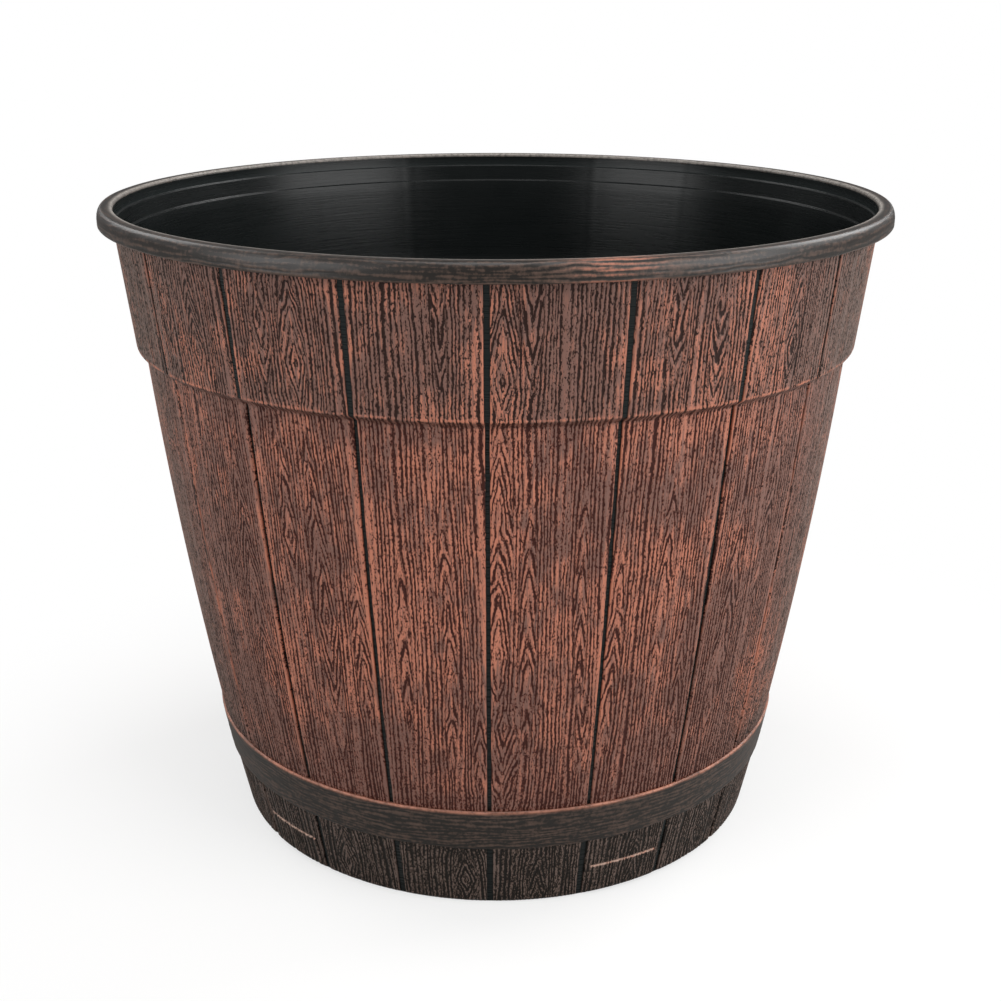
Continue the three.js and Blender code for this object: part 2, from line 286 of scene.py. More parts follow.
def floor_wedge(azimuth, under_radius, top_radius):
    """A fifth of the floor: rings of points run from the wedge's edge, two straight sides and
    an arc, in to the drain hole, down through it, and out again underneath."""
    half = DRAIN_ANGLE / 2
    arc_steps = POT_COLUMNS // DRAIN_COUNT
    side = np.linspace(0, 1, 36)[:-1]
    reach = np.concatenate([side, np.ones(arc_steps + 1), side[:0:-1]])
    angle = np.concatenate([
        np.full(len(side), -half), np.linspace(-half, half, arc_steps + 1),
        np.full(len(side) - 1, half),
    ])
    edge = np.stack([reach * np.cos(np.radians(angle)), reach * np.sin(np.radians(angle))], 1)
    hole = np.array([DRAIN_PITCH_RADIUS, 0])
    towards = edge * top_radius - hole
    towards /= np.linalg.norm(towards, axis=1, keepdims=True)
    soft = 0.2
    rings = np.concatenate([
        near(SEAT_RADIUS, FLOOR_TOP, [(0.5, 0), (soft, 0), (0, -soft)]),
        near(SEAT_RADIUS, SEAT_LEVEL, [(0, soft), (-soft, 0)]),
        near(DRAIN_RADIUS, SEAT_LEVEL, [(0.6, 0), (soft, 0), (0, -soft)]),
        near(DRAIN_RADIUS, BOSS_BOTTOM, [(0, soft), (soft, 0)]),
        near(BOSS_RADIUS, BOSS_BOTTOM, [(-soft, 0), (0, soft)]),
        near(BOSS_RADIUS, FLOOR_UNDERSIDE, [(0, -soft), (soft, 0), (0.6, 0)]),
    ])
    circles = hole + rings[:, :1, None] * towards
    top, under = edge * top_radius, edge * under_radius
    flat = np.stack([top, (top + circles[0]) / 2, *circles, (under + circles[-1]) / 2, under])
    z = np.concatenate([[FLOOR_TOP] * 2, rings[:, 1], [FLOOR_UNDERSIDE] * 2])[:, None]
    x, y = flat[..., 0], flat[..., 1]
    return on_azimuth(np.hypot(x, y), azimuth + np.degrees(np.arctan2(y, x)), z)


def pot_body():
    """Turns the wall's profile, adds the floor's five wedges, and joins points that coincide.
    Behind each seam the inside sinks a little."""
    profile = wall_profile()
    first = DRAIN_AZIMUTH - DRAIN_ANGLE / 2
    wall = turned(profile, POT_COLUMNS, first)
    azimuth = first + 360 / POT_COLUMNS * np.arange(POT_COLUMNS)
    sink = SINK_DEPTH * bell(wrapped(azimuth - SEAM_AZIMUTH, STAVE_ANGLE), SINK_WIDTH)
    past_top = np.arange(len(profile)) > np.argmax(profile[:, 1])
    is_inside = past_top & (profile[:, 1] > FLOOR_TOP + 8)
    wall[..., :2] *= (1 + is_inside[:, None] * sink / profile[:, :1])[..., None]
    blocks = [(wall, grid_quads(len(profile), POT_COLUMNS))]
    wall_box = (MAP_MARGIN, 0.2, 1 - MAP_MARGIN, 1 - MAP_MARGIN)
    layouts = [lay_out(np.arange(POT_COLUMNS + 1), run_lengths(profile), wall_box)]
    for drain in range(DRAIN_COUNT):
        wedge = floor_wedge(DRAIN_AZIMUTH + drain * DRAIN_ANGLE, profile[0, 0], profile[-1, 0])
        rows, columns = wedge.shape[:2]
        blocks.append((wedge, grid_quads(rows, columns)))
        left, right = drain / DRAIN_COUNT + MAP_MARGIN, (drain + 1) / DRAIN_COUNT - MAP_MARGIN
        box = (left, MAP_MARGIN, right, MAP_FLOOR_TOP)
        layouts.append(lay_out(np.arange(columns + 1), np.arange(rows), box))
    points, quads = merged(blocks)
    _, kept, joined = np.unique(np.round(points, 2), axis=0, return_index=True, return_inverse=True)
    points, quads = points[kept], joined.reshape(-1)[quads]
    piece = new_piece("pot_body", points, quads, layout=np.concatenate(layouts))
    is_outer = np.hypot(points[:, 0], points[:, 1]) > seam_bottom(points[:, 2]) - 0.1
    store(piece, "outside", np.repeat(is_outer, 3))
    return piece


def add_node(tree, kind, inputs=None, **settings):
    """Adds a node; each input is a plain value or the socket that feeds it."""
    made = tree.nodes.new(kind)
    for name, value in settings.items():
        setattr(made, name, value)
    for name, value in (inputs or {}).items():
        if isinstance(value, bpy.types.NodeSocket):
            tree.links.new(value, made.inputs[name])
        else:
            made.inputs[name].default_value = value
    return made


def maths(tree, operation, first, second=0.0, third=0.0, clamp=False):
    """The result of one sum, product or the like."""
    inputs = {0: first, 1: second, 2: third}
    return add_node(tree, "ShaderNodeMath", inputs, operation=operation, use_clamp=clamp).outputs[0]


def ramp(tree, value, low, high, to_low=0.0, to_high=1.0):
    """Takes a value smoothly from one range to another, and holds it at the ends."""
    inputs = {"Value": value, "From Min": low, "From Max": high,
              "To Min": to_low, "To Max": to_high}
    made = add_node(tree, "ShaderNodeMapRange", inputs, interpolation_type="SMOOTHSTEP")
    return made.outputs["Result"]


def mixed(tree, factor, first, second):
    """A colour between two, by a factor."""
    inputs = {0: factor, 6: first, 7: second}
    return add_node(tree, "ShaderNodeMix", inputs, data_type="RGBA").outputs[2]


def noise(tree, place, scale, detail, roughness=0.5, stretch=None):
    """Noise from 0 to 1, over a place that is multiplied by stretch if it is set."""
    if stretch:
        stretched = {"Vector": place, "Scale": stretch}
        place = add_node(tree, "ShaderNodeMapping", stretched).outputs["Vector"]
    inputs = {"Vector": place, "Scale": scale, "Detail": detail, "Roughness": roughness}
    return add_node(tree, "ShaderNodeTexNoise", inputs).outputs["Fac"]


def new_group(name, inputs, outputs):
    """An empty shader group with its sockets, and its input and output nodes."""
    group = bpy.data.node_groups.new(name, "ShaderNodeTree")
    for socket, kind, value in inputs:
        made = group.interface.new_socket(socket, in_out="INPUT", socket_type=kind)
        if value is not None:
            made.default_value = value
    for socket, kind in outputs:
        group.interface.new_socket(socket, in_out="OUTPUT", socket_type=kind)
    return group, group.nodes.new("NodeGroupInput").outputs, group.nodes.new("NodeGroupOutput")


def use_group(tree, group, inputs):
    """Places a group in a material with its own values."""
    return add_node(tree, "ShaderNodeGroup", inputs, node_tree=group).outputs


def new_material(name):
    """A material with its Principled shader."""
    material = bpy.data.materials.new(name)
    material.use_nodes = True
    return material, material.node_tree, material.node_tree.nodes["Principled BSDF"]


def feed(tree, shader, colour, roughness, height, distance, strength):
    """Gives a shader its colour, its roughness and a bump from a height."""
    inputs = {"Height": height, "Distance": distance, "Strength": strength}
    normal = add_node(tree, "ShaderNodeBump", inputs).outputs["Normal"]
    for name, socket in (("Base Color", colour), ("Roughness", roughness), ("Normal", normal)):
        tree.links.new(socket, shader.inputs[name])


def dress(piece, material):
    """Gives a piece its material."""
    piece.data.materials.append(material)


def moulded_skin_group():
    """The surface of a moulding: fine streaks that run round it, where the mould was polished,
    and a broad cloud of dust. Both go from 0 to 1."""
    group, given, result = new_group(
        "moulded_skin",
        [("Place", "NodeSocketVector", None), ("Scale", "NodeSocketFloat", 1.0)],
        [("Streaks", "NodeSocketFloat"), ("Dust", "NodeSocketFloat")],
    )
    fine = noise(group, given["Place"], given["Scale"], 3.0, 0.6, (45, 45, 1500))
    broad = noise(group, given["Place"], maths(group, "MULTIPLY", given["Scale"], 28), 4.0)
    group.links.new(fine, result.inputs["Streaks"])
    group.links.new(ramp(group, broad, 0.35, 0.7), result.inputs["Dust"])
    return group


moulded_skin = moulded_skin_group()


def black_plastic():
    """Near-black and glossy, with the mould's faint streaks, duller where dust has settled."""
    material, tree, shader = new_material("black_plastic")
    place = add_node(tree, "ShaderNodeTexCoord").outputs["Object"]
    skin = use_group(tree, moulded_skin, {"Place": place, "Scale": 1.0})
    outside = add_node(tree, "ShaderNodeAttribute", attribute_name="outside").outputs["Fac"]
    colour = mixed(tree, skin["Dust"], BLACK, BLACK_DUSTY)
    colour = mixed(tree, outside, colour, BLACK_OUTSIDE)
    roughness = maths(tree, "MULTIPLY_ADD", skin["Streaks"], 0.16, 0.2)
    shader.inputs["Specular IOR Level"].default_value = 0.24
    strength = ramp(tree, outside, 0, 1, 0.4, 0.02)
    feed(tree, shader, colour, roughness, skin["Streaks"], 0.0001, strength)
    return material


black = black_plastic()
dress(pot_body(), black)

# ---- Stave faces ----
# Twenty raised faces of the same moulding, one between each two seams, broken only by the
# hoop. The mould gives each its own wood grain; a copper-brown paint is then rubbed over
# them and stays on the ridges, most of all along the edges of the seams.

WALL_SEAM_WIDTH = 1.6
BAND_SEAM_WIDTH = 2.1
FOOT_SEAM_WIDTH = 2.4
EDGE_ROUNDING = 0.35
FACE_COLUMNS = 118
GRAIN_RELIEF = 0.28
RING_PITCH = 1.55
PANEL_WIDTH = 28.5
PANEL_HEIGHT = 14.0
PANEL_PROUD = 0.4
BACK_COLUMNS = 5
RAGGEDNESS = 0.12
EYE_ROUNDING = 0.08
EYE_CALM = 12
TIP_WIDTH = 0.45
LEAN = 0.35

BLOTCH_CELLS = (38, 120)
BAND_COVER = 0.95
# Below 0 on the foot: a duller skin, partly thinner paint and partly painted shade.
FOOT_COVER_AND_SHADE = -0.3
# Painted sheen: round these azimuths on each side the red stain is thinned, so the paint looks
# greyer, as the sides would in reflected light.
PAINTED_SHEEN_AZIMUTH = 66
PAINTED_SHEEN_WIDTH = 20

# The paint without and with its red stain, and the full copper
GROOVE_COLOURS = (0.012, 0.0088, 0.0068, 1), (0.048, 0.0105, 0.0068, 1)
FILM_COLOURS = (0.075, 0.046, 0.034, 1), (0.162, 0.0475, 0.029, 1)
DULL_COLOURS = (0.15, 0.097, 0.077, 1), (0.21, 0.093, 0.067, 1)
COPPER_COLOUR = (0.57, 0.195, 0.113, 1)
# The panel's top-edge line: partly wear and partly a painted highlight of the edge that faces up.
PANEL_LINE_RUB_AND_HIGHLIGHT = (0.46, 0.3, 0.23, 1)

# What bends the rings and what moves the arches up and down: amount, width, height, seed
BENDS = [(2.2, 15, 80, 11), (0.8, 4, 30, 12), (0.42, 1.6, 5, 13), (0.25, 0.9, 2, 18)]
WANDERS = [(9, 6, 11, 19), (5, 2.4, 5, 20)]

# Lowest and highest point of the other staves' figures
BACK_FIGURES = [(55, 130), (105, 190), (60, 150), (198, 246), (202, 250), (-4, 26)]

# Narrow figures in the grain that the front shows, for each stave: place across it, lowest and
# highest point, half width, height of the eye that the arches are nested round, their slope
FRONT_FIGURES = {
    -3: [(10, 66, 178, 4.5, 84, 0.2), (-6, 120, 192, 3, 150, 0.16), (4, 204, 240, 4, 212, 0.3),
         (-12, 206, 236, 3, 230, 0.2)],
    -2: [(15, 80, 142, 3.4, 84, 0.18), (2, 60, 190, 4, 120, 0.16), (-9, 130, 190, 3, 150, 0.16),
         (4, 200, 242, 5, 214, 0.3), (-8, 204, 240, 3, 228, 0.2), (-5, -2, 27, 5, 9, 0.35)],
    -1: [(6, 62, 168, 2.6, 60, 0.14), (-9, 72, 150, 2, 84, 0.12), (16, 52, 92, 2.6, 56, 0.2),
         (8, 208, 252, 2.4, 252, 0.2), (9, -4, 25, 5, 11, 0.4)],
    0: [(-17, 90, 200, 5, 112, 0.18), (-14, 46, 88, 5, 82, 0.24), (-7, 70, 168, 2.6, 60, 0.14),
        (11, 90, 174, 2.4, 84, 0.13), (-17, 200, 250, 5, 211.5, 0.24),
        (-8, 208, 266, 3.2, 266, 0.14), (13, 60, 92, 2.6, 96, 0.16), (1, -4, 22, 3, 2, 0.3)],
    1: [(-16, 66, 150, 3, 70, 0.16), (0, 96, 180, 2.8, 92, 0.14), (12, 60, 130, 2.4, 64, 0.14),
        (-6, 208, 250, 2.6, 256, 0.16), (9, 198, 236, 2.8, 240, 0.2), (4, -4, 24, 3, 3, 0.3)],
    2: [(-8, 60, 160, 3.6, 74, 0.16), (7, 110, 190, 3, 112, 0.15), (0, 202, 244, 4, 214, 0.26),
        (4, -4, 26, 4, 12, 0.35)],
    3: [(2, 70, 180, 4, 96, 0.18), (-9, 60, 120, 3, 66, 0.15), (5, 204, 244, 4, 218, 0.26)],
}

# Where the front's paint is rubbed thicker or thinner: azimuth, height, size, amount. The broad
# thinner patches at azimuth 56 to 80 and -60 to -62 are partly wear and partly a painted sheen, the
# grey that the sides take from reflected light.
FRONT_PATCHES = [
    (-11, 165, 34, 0.55), (-14, 118, 32, 0.55), (29, 188, 18, 0.4), (21, 138, 26, 0.35),
    (-30, 108, 16, 0.4), (3, 12, 30, 0.5), (2, 165, 12, 0.3), (-26, 150, 20, -0.45),
    (12, 158, 18, -0.45), (36, 96, 26, -0.55), (-20, 66, 18, -0.4), (-42, 135, 26, -0.35),
    (25, 225, 20, 0.1), (-8, 225, 20, -0.5), (8, 225, 14, -0.3),
    (56, 150, 44, -0.8), (56, 215, 36, -0.8), (-62, 140, 50, -1.0), (-60, 222, 34, -1.0),
    (80, 150, 60, -0.6), (-27, 224, 20, 0.45),
]


def soft_noise(across, along, seed, size=128):
    """Heights from 0 to 1: random ones on a square lattice, mixed between its points with the
    weights 3t^2 - 2t^3. They repeat after size steps, which closes them round the pot."""
    table = np.random.default_rng(seed).random((size, size))
    column, row = np.floor(across).astype(int), np.floor(along).astype(int)
    x, y = smooth(0, 1, across - column), smooth(0, 1, along - row)
    pick = lambda dx, dy: table[(row + dy) % size, (column + dx) % size]
    low = pick(0, 0) * (1 - x) + pick(1, 0) * x
    high = pick(0, 1) * (1 - x) + pick(1, 1) * x
    return low * (1 - y) + high * y


def waves(across, along, terms):
    """A sum of noises from -1/2 to 1/2, each with its amount, size and seed."""
    return sum(amount * (soft_noise(across / width, along / height, seed) - 0.5)
               for amount, width, height, seed in terms)


def random_figures(rng):
    """Figures for a stave that the front doesn't show."""
    figures = []
    for low, high in BACK_FIGURES:
        low, high = low + rng.uniform(-4, 10), high - rng.uniform(-4, 14)
        eye = low + (high - low) * rng.uniform(-0.1, 0.35)
        centre, half_width = rng.uniform(-17, 17), rng.uniform(2.2, 4.6)
        figures.append((centre, low, high, half_width, eye, rng.uniform(0.13, 0.28)))
    return figures


def stave_grain(stave, across, z):
    """The grain of one stave: its ring count, a fleck from 0 to 1, and how bold each ring is.
    The rings run straight up, a / pitch, unevenly spaced and bent a little. Inside a figure,
    whose outline is an ellipse, they are nested arches, (sqrt(a^2 + 0.08) + slope |z - eye|) /
    pitch with the heights z wandering, and the straight rings lean out of its way. They are
    bolder in a figure and fade along its middle line."""
    rng = np.random.default_rng(900 + stave)
    a, b = across + 60, z + 31.7 * stave + 2000
    wander = waves(a, b, WANDERS)
    place = across + waves(a, b, BENDS)
    figures = FRONT_FIGURES.get(stave) or random_figures(rng)
    lean, inside, nested, tip = 0, np.zeros(np.shape(place), bool), 0, 0
    for centre, low, high, half_width, eye, slope in figures:
        reach = (2 * z - low - high) / (high - low)
        width = half_width * np.sqrt(np.maximum(1 - reach ** 2, 0))
        off = place - centre
        lean = lean - LEAN * width * off / half_width * bell(off, 1.8 * half_width)
        calm = 1 - bell(z - eye, EYE_CALM)
        rise = slope * np.abs(z + calm * wander - eye)
        own = (np.sqrt(off ** 2 + EYE_ROUNDING) + rise) / RING_PITCH
        here = np.abs(off) < width
        nested, inside = np.where(here, own, nested), inside | here
        tip = np.where(here, bell(off, TIP_WIDTH), tip)
    rings = (place + lean) / RING_PITCH
    rings = rings + 1.5 * (soft_noise(rings * 0.45 + 60, b / 160, 17) - 0.5)
    rings = np.where(inside, nested, rings)
    fleck = 0.6 * soft_noise(a / 0.6, b / 2.6, 14) + 0.4 * soft_noise(a / 0.45, b / 1.3, 15)
    bold = soft_noise(rings * 0.9 + 80, b / 30, 16)
    bold = bold + 0.12 * inside * (1 + (z > BAND_BOTTOM)) - 0.5 * tip
    return rings, fleck, bold


def ridge_height(rings, fleck, bold):
    """How high the grain stands, from 0 in a groove to 1 on a ridge: 0.85 less a groove sin^3 of
    half the ring count's angle, deep where the ring is bold, roughened by the fleck."""
    groove = np.abs(np.sin(np.pi * rings)) ** 3
    return smooth(0.2, 0.75, 0.85 - (0.3 + 0.85 * bold) * groove + 0.5 * (fleck - 0.5))


def copper_amount(azimuth, z, seed):
    """How much of the rubbed paint stayed, from 0 to 1, with a painted sheen where the sides'
    patches thin it: soft blotches of 15 to 40 mm, and the front's own patches, each a bell (1 +
    r^2)^-2 over its size."""
    turn, b = azimuth / 360, z / 16 + 60
    coarse, fine = BLOTCH_CELLS
    blotch = 0.5 * soft_noise(coarse * turn, b / 1.6, seed, coarse)
    blotch = blotch + 0.5 * soft_noise(fine * turn, b / 0.6, seed + 1, fine)
    patches = 0
    for centre, height, size, amount in FRONT_PATCHES:
        across = np.radians(wrapped(azimuth - centre)) * outside_radius(height)
        reach = np.hypot(across, z - height) / size
        patches = patches + amount / (1 + reach ** 2) ** 2
    return np.clip(smooth(0.15, 0.85, blotch) + patches, 0, 1)


def paint_cover_and_shade(z):
    """How much of the paint shows at each height, with painted shade folded in: less on the band
    than on the wall; on the wall, darker towards the hoop over about 70 mm and darkest in the 12 mm
    just above it, as painted shade for light that falls from above; painted shade under the
    shoulder's step; and below 0, so a duller skin, on the foot, which is partly thinner paint and
    partly painted shade."""
    # Painted shade: the lower wall darkens towards the hoop.
    wall = 0.1 + 0.5 * smooth(HOOP_TOP, HOOP_TOP + 12, z) + 0.4 * smooth(HOOP_TOP, HOOP_TOP + 70, z)
    wall = np.where(z < FOOT_TOP + 2, FOOT_COVER_AND_SHADE, wall)
    cover = wall + (BAND_COVER - wall) * smooth(WALL_TOP, BAND_BOTTOM, z)
    # Painted shade on the underside of the shoulder's step.
    under = smooth(WALL_TOP - 0.6, WALL_TOP + 0.4, z)
    under = under * (1 - smooth(BAND_BOTTOM - 1.2, BAND_BOTTOM, z))
    return cover * (1 - 0.55 * under)


def stave_centre(stave):
    """The azimuth of a stave's middle line."""
    return SEAM_AZIMUTH + STAVE_ANGLE * (stave + 0.5)


def panel_mask(stave, across, z):
    """1 on the raised panel that a mould insert leaves on the foot, and 0 off it. Only the
    staves in front of a drain have one."""
    if abs(wrapped(stave_centre(stave) - DRAIN_AZIMUTH, DRAIN_ANGLE)) > 1:
        return np.zeros(np.shape(z))
    wide = 1 - smooth(PANEL_WIDTH / 2 - 0.3, PANEL_WIDTH / 2, np.abs(across))
    return wide * (1 - smooth(PANEL_HEIGHT - 0.5, PANEL_HEIGHT, z)) * smooth(0.8, 1.4, z)


def stave_slab(stave, heights):
    """A stretch of one stave's face between two heights: a closed slab whose front carries the
    grain, whose sides stand on the pot body, and whose back lies inside it."""
    z = heights[:, None]
    radius = outside_radius(z)
    seam = np.where(z < FOOT_TOP + 8, FOOT_SEAM_WIDTH, WALL_SEAM_WIDTH)
    seam = seam + (BAND_SEAM_WIDTH - WALL_SEAM_WIDTH) * smooth(WALL_TOP + 1, BAND_BOTTOM, z)
    ragged = soft_noise(heights / 3.1, np.full(len(heights), 7.3 * stave + 90), 21)[:, None] - 0.5
    half = np.radians(STAVE_ANGLE / 2) * radius - seam / 2 + RAGGEDNESS * ragged
    rim = np.array([0, 0.1, 0.35])
    middle = np.linspace(-1, 1, FACE_COLUMNS - 6)
    across = np.concatenate([rim - half, middle * (half - 0.7), half - rim[::-1]], 1)
    rings, fleck, bold = stave_grain(stave, across, z + 0 * across)
    rounding = EDGE_ROUNDING * (1 - smooth(0, EDGE_ROUNDING, half - np.abs(across)))
    ends = smooth(0, 1.2, LIP_BOTTOM + 0.4 - z) * smooth(0, 0.8, z - heights[0] + 0.4)
    relief = GRAIN_RELIEF * (ridge_height(rings, fleck, bold) - 1) * ends - rounding
    relief = relief + PANEL_PROUD * panel_mask(stave, across, z)
    front = radius + relief - np.maximum(0, 1 - z) ** 2
    side, back = seam_bottom(z) - 0.2, seam_bottom(z) - 0.45
    back_across = np.linspace(0.85, -0.85, BACK_COLUMNS) * half
    back = np.broadcast_to(back, back_across.shape)
    all_across = np.concatenate([-half, across, half, back_across], 1)
    all_radius = np.concatenate([side, front, side, back], 1)
    azimuth = stave_centre(stave) + np.degrees(all_across / radius)
    patchy = 0.3 + 0.8 * soft_noise(azimuth / 1.7 + 300, z / 9 + 50, 34)
    edge = patchy * np.exp(-np.maximum(half - np.abs(all_across), 0) / 1.1)
    broken = 0.4 + 0.9 * soft_noise(azimuth / 2.2 + 200, 0 * azimuth + 3, 33)
    edge = np.maximum(edge, broken * bell(z - BAND_BOTTOM - 0.1, 0.55))
    # A thin pale line along the raised panel's top edge, partly wear and partly a painted
    # highlight.
    panel_edge = bell(z - PANEL_HEIGHT + 0.2, 0.4)
    panel_edge = panel_mask(stave, all_across, 0 * all_across + 5) * panel_edge
    pad = lambda values: np.pad(values, ((0, 0), (1, 1 + BACK_COLUMNS)), mode="edge")
    # Painted sheen: the stain thins round azimuth ±66, in place of the grey sheen of reflected
    # light on the sides.
    painted_sheen = bell(np.abs(wrapped(azimuth)) - PAINTED_SHEEN_AZIMUTH, PAINTED_SHEEN_WIDTH)
    stain = (z > FOOT_TOP + 2) * (1 - 0.6 * smooth(WALL_TOP, BAND_BOTTOM, z)) * (1 - 0.85 * painted_sheen)
    kept = {
        "grain": (pad(rings), pad(fleck), pad(bold) * (1 - panel_edge)),
        "paint_and_painted_light": (copper_amount(azimuth, z, 31), edge * (1 - panel_edge),
                   paint_cover_and_shade(z) + 2 * panel_edge),
        "skin": (stain, panel_edge, 0),
        "grain_place": (all_across, z, 7 * stave),
    }
    kept = {name: np.stack(np.broadcast_arrays(*values), -1) for name, values in kept.items()}
    return on_azimuth(all_radius, azimuth, z), all_across, kept


def lay_out_slab(slab, across, heights, low, high):
    """A slab's quads on the stave's own map, and its two ends above them."""
    turns = slab.shape[1] - FACE_COLUMNS - 1
    shares = [[0, 0.02], np.full(FACE_COLUMNS - 1, 0.88 / (FACE_COLUMNS - 1)), [0.02],
              np.full(turns, 0.08 / turns)]
    box = (MAP_MARGIN, low, 1 - MAP_MARGIN, high)
    ends = []
    for row, order, lift in ((0, -1, 0.004), (-1, 1, 0.010)):
        depth = np.hypot(slab[row, :, 0], slab[row, :, 1])
        flat = np.stack([across[row], depth - depth.min()], -1)[::order]
        flat = (flat - flat.min(0)) / np.ptp(flat, axis=0)
        ends.append(flat * (0.99, 0.003) + (0.005, high + lift))
    return lay_out(np.cumsum(np.concatenate(shares)), heights, box), ends


def stave_face(stave):
    """One stave's face: the slab on the foot and the slab on the wall and band."""
    foot = np.linspace(0, FOOT_TOP + 0.5, 30)
    foot = np.union1d(foot, PANEL_HEIGHT + np.array([-0.7, -0.5, -0.2, 0.1]))
    wall = np.concatenate([
        np.linspace(HOOP_TOP - 0.8, WALL_TOP - 0.5, 152),
        np.linspace(WALL_TOP, BAND_BOTTOM + 1, 11),
        np.linspace(BAND_BOTTOM + 1.8, LIP_BOTTOM + 0.4, 46),
    ])
    blocks, caps, layouts, end_layouts, values, start = [], [], [], [], [], 0
    for heights, low, high in ((foot, 0.002, 0.115), (wall, 0.134, 0.984)):
        slab, across, kept = stave_slab(stave, heights)
        rows, columns = slab.shape[:2]
        layout, ends = lay_out_slab(slab, across, heights, low, high)
        layouts.append(layout)
        end_layouts += ends
        blocks.append((slab, grid_quads(rows, columns)))
        caps += end_caps(rows, columns, start)
        values.append(kept)
        start += rows * columns
    points, quads = merged(blocks)
    piece = new_piece(f"stave_face_{stave % STAVE_COUNT + 1}", points, quads, caps,
                      np.concatenate(layouts + end_layouts))
    for name in values[0]:
        store(piece, name, np.concatenate([kept[name].reshape(-1, 3) for kept in values]))
    return piece


def copper_rub_group():
    """Black plastic with copper-brown paint rubbed over it: a stain in the grooves, a dull
    film on the slopes, and bright copper on the ridges where much of it stayed."""
    group, given, result = new_group(
        "copper_rub",
        [("Ridge", "NodeSocketFloat", 0.5), ("Copper", "NodeSocketFloat", 0.5),
         ("Stain", "NodeSocketFloat", 0.0)],
        [("Color", "NodeSocketColor"), ("Roughness", "NodeSocketFloat")],
    )
    groove = mixed(group, given["Stain"], *GROOVE_COLOURS)
    film = mixed(group, given["Stain"], *FILM_COLOURS)
    dull = mixed(group, ramp(group, given["Stain"], 0.0, 0.4), *DULL_COLOURS)
    paint = mixed(group, ramp(group, given["Copper"], 0.05, 1.0), dull, COPPER_COLOUR)
    low = mixed(group, ramp(group, given["Ridge"], 0.1, 0.45), groove, film)
    colour = mixed(group, ramp(group, given["Ridge"], 0.38, 0.95), low, paint)
    group.links.new(colour, result.inputs["Color"])
    group.links.new(ramp(group, given["Ridge"], 0.0, 1.0, 0.40, 0.52), result.inputs["Roughness"])
    return group


copper_rub = copper_rub_group()


def kept_values(tree, name):
    """The three values that store has kept on the mesh under a name."""
    vector = add_node(tree, "ShaderNodeAttribute", attribute_name=name).outputs["Vector"]
    return add_node(tree, "ShaderNodeSeparateXYZ", {0: vector}).outputs


def grained_plastic():
    """The staves' paint over black plastic, whose kept values include painted shade, a painted
    sheen and a partly painted highlight. The ring count, fleck and boldness kept on the mesh give
    the same grooves that its relief has; finer breaks and pores are added here."""
    material, tree, shader = new_material("grained_plastic")
    grain, paint_and_painted_light, skin = (kept_values(tree, name) for name in ("grain", "paint_and_painted_light", "skin"))
    place = add_node(tree, "ShaderNodeAttribute", attribute_name="grain_place").outputs["Vector"]

    # Noise drawn out along the grain, in features per millimetre across and along it
    drawn_out = lambda a, b, detail: noise(tree, place, 1.0, detail, 0.6, (a, b, 1))
    add = lambda first, second: maths(tree, "ADD", first, second)
    times = lambda first, second: maths(tree, "MULTIPLY", first, second)
    rings = add(grain["X"], ramp(tree, drawn_out(1.3, 0.5, 2.0), 0.25, 0.75, -0.08, 0.08))
    wave = maths(tree, "ABSOLUTE", maths(tree, "SINE", times(rings, np.pi)))
    groove = maths(tree, "POWER", wave, 3.0)
    height = add(0.52, times(groove, add(times(grain["Z"], -0.85), -0.2)))
    fleck = times(grain["Y"], 0.6)
    breaks = ramp(tree, drawn_out(2.4, 0.9, 1.0), 0.3, 0.7, -0.24, 0.24)
    pores = ramp(tree, drawn_out(1.6, 0.6, 1.0), 0.58, 0.68, 0.0, -0.5)
    # The third kept value lowers the ridges where paint is thin and where shade is painted in: low
    # on the wall, under the shoulder and on the foot.
    cover, edge = times(add(paint_and_painted_light["Z"], -1.0), 0.22), times(paint_and_painted_light["Y"], 0.4)
    for part in (fleck, breaks, pores, cover, edge):
        height = add(height, part)
    ridge = ramp(tree, height, 0.18, 0.8)
    copper = add(times(paint_and_painted_light["X"], 0.8), times(paint_and_painted_light["Y"], 0.55))
    copper = add(copper, ramp(tree, drawn_out(1.1, 0.1, 3.0), 0.3, 0.7, -0.45, 0.45))
    copper = times(maths(tree, "MAXIMUM", copper, 0.0), maths(tree, "MAXIMUM", paint_and_painted_light["Z"], 0.0))
    # The stain fed in here is thinned on the sides as a painted sheen.
    rubbed = use_group(tree, copper_rub, {"Ridge": ridge, "Copper": copper, "Stain": skin["X"]})
    # The panel's top-edge line: partly wear, partly a painted highlight.
    line = times(ramp(tree, skin["Y"], 0.1, 0.9), ramp(tree, grain["Y"], 0.25, 0.6, 0.3, 1.0))
    colour = mixed(tree, line, rubbed["Color"], PANEL_LINE_RUB_AND_HIGHLIGHT)
    tree.links.new(ramp(tree, ridge, 0.2, 0.9, 0.25, 0.85), shader.inputs["Specular IOR Level"])
    feed(tree, shader, colour, rubbed["Roughness"], ridge, 0.0002, 0.6)
    return material


grained = grained_plastic()
for stave_number in range(-STAVE_COUNT // 2, STAVE_COUNT // 2):
    dress(stave_face(stave_number), grained)

# ---- Hoop ----
# A low ring of the same moulding between wall and foot, shaped as an iron-grey hoop. Its grain runs
# round it, and the paint is rubbed on thinly; its upper edge is brighter, with rubbed copper and a
# painted highlight where it faces up to the light.

HOOP_PROUD = 0.9
HOOP_RELIEF = 0.22
HOOP_COLUMNS = 1200
HOOP_ROWS = 34
STREAK_CELLS = (38, 120, 150)
HOOP_EDGE_RUB_AND_HIGHLIGHT = (0.48, 0.2, 0.13, 1)


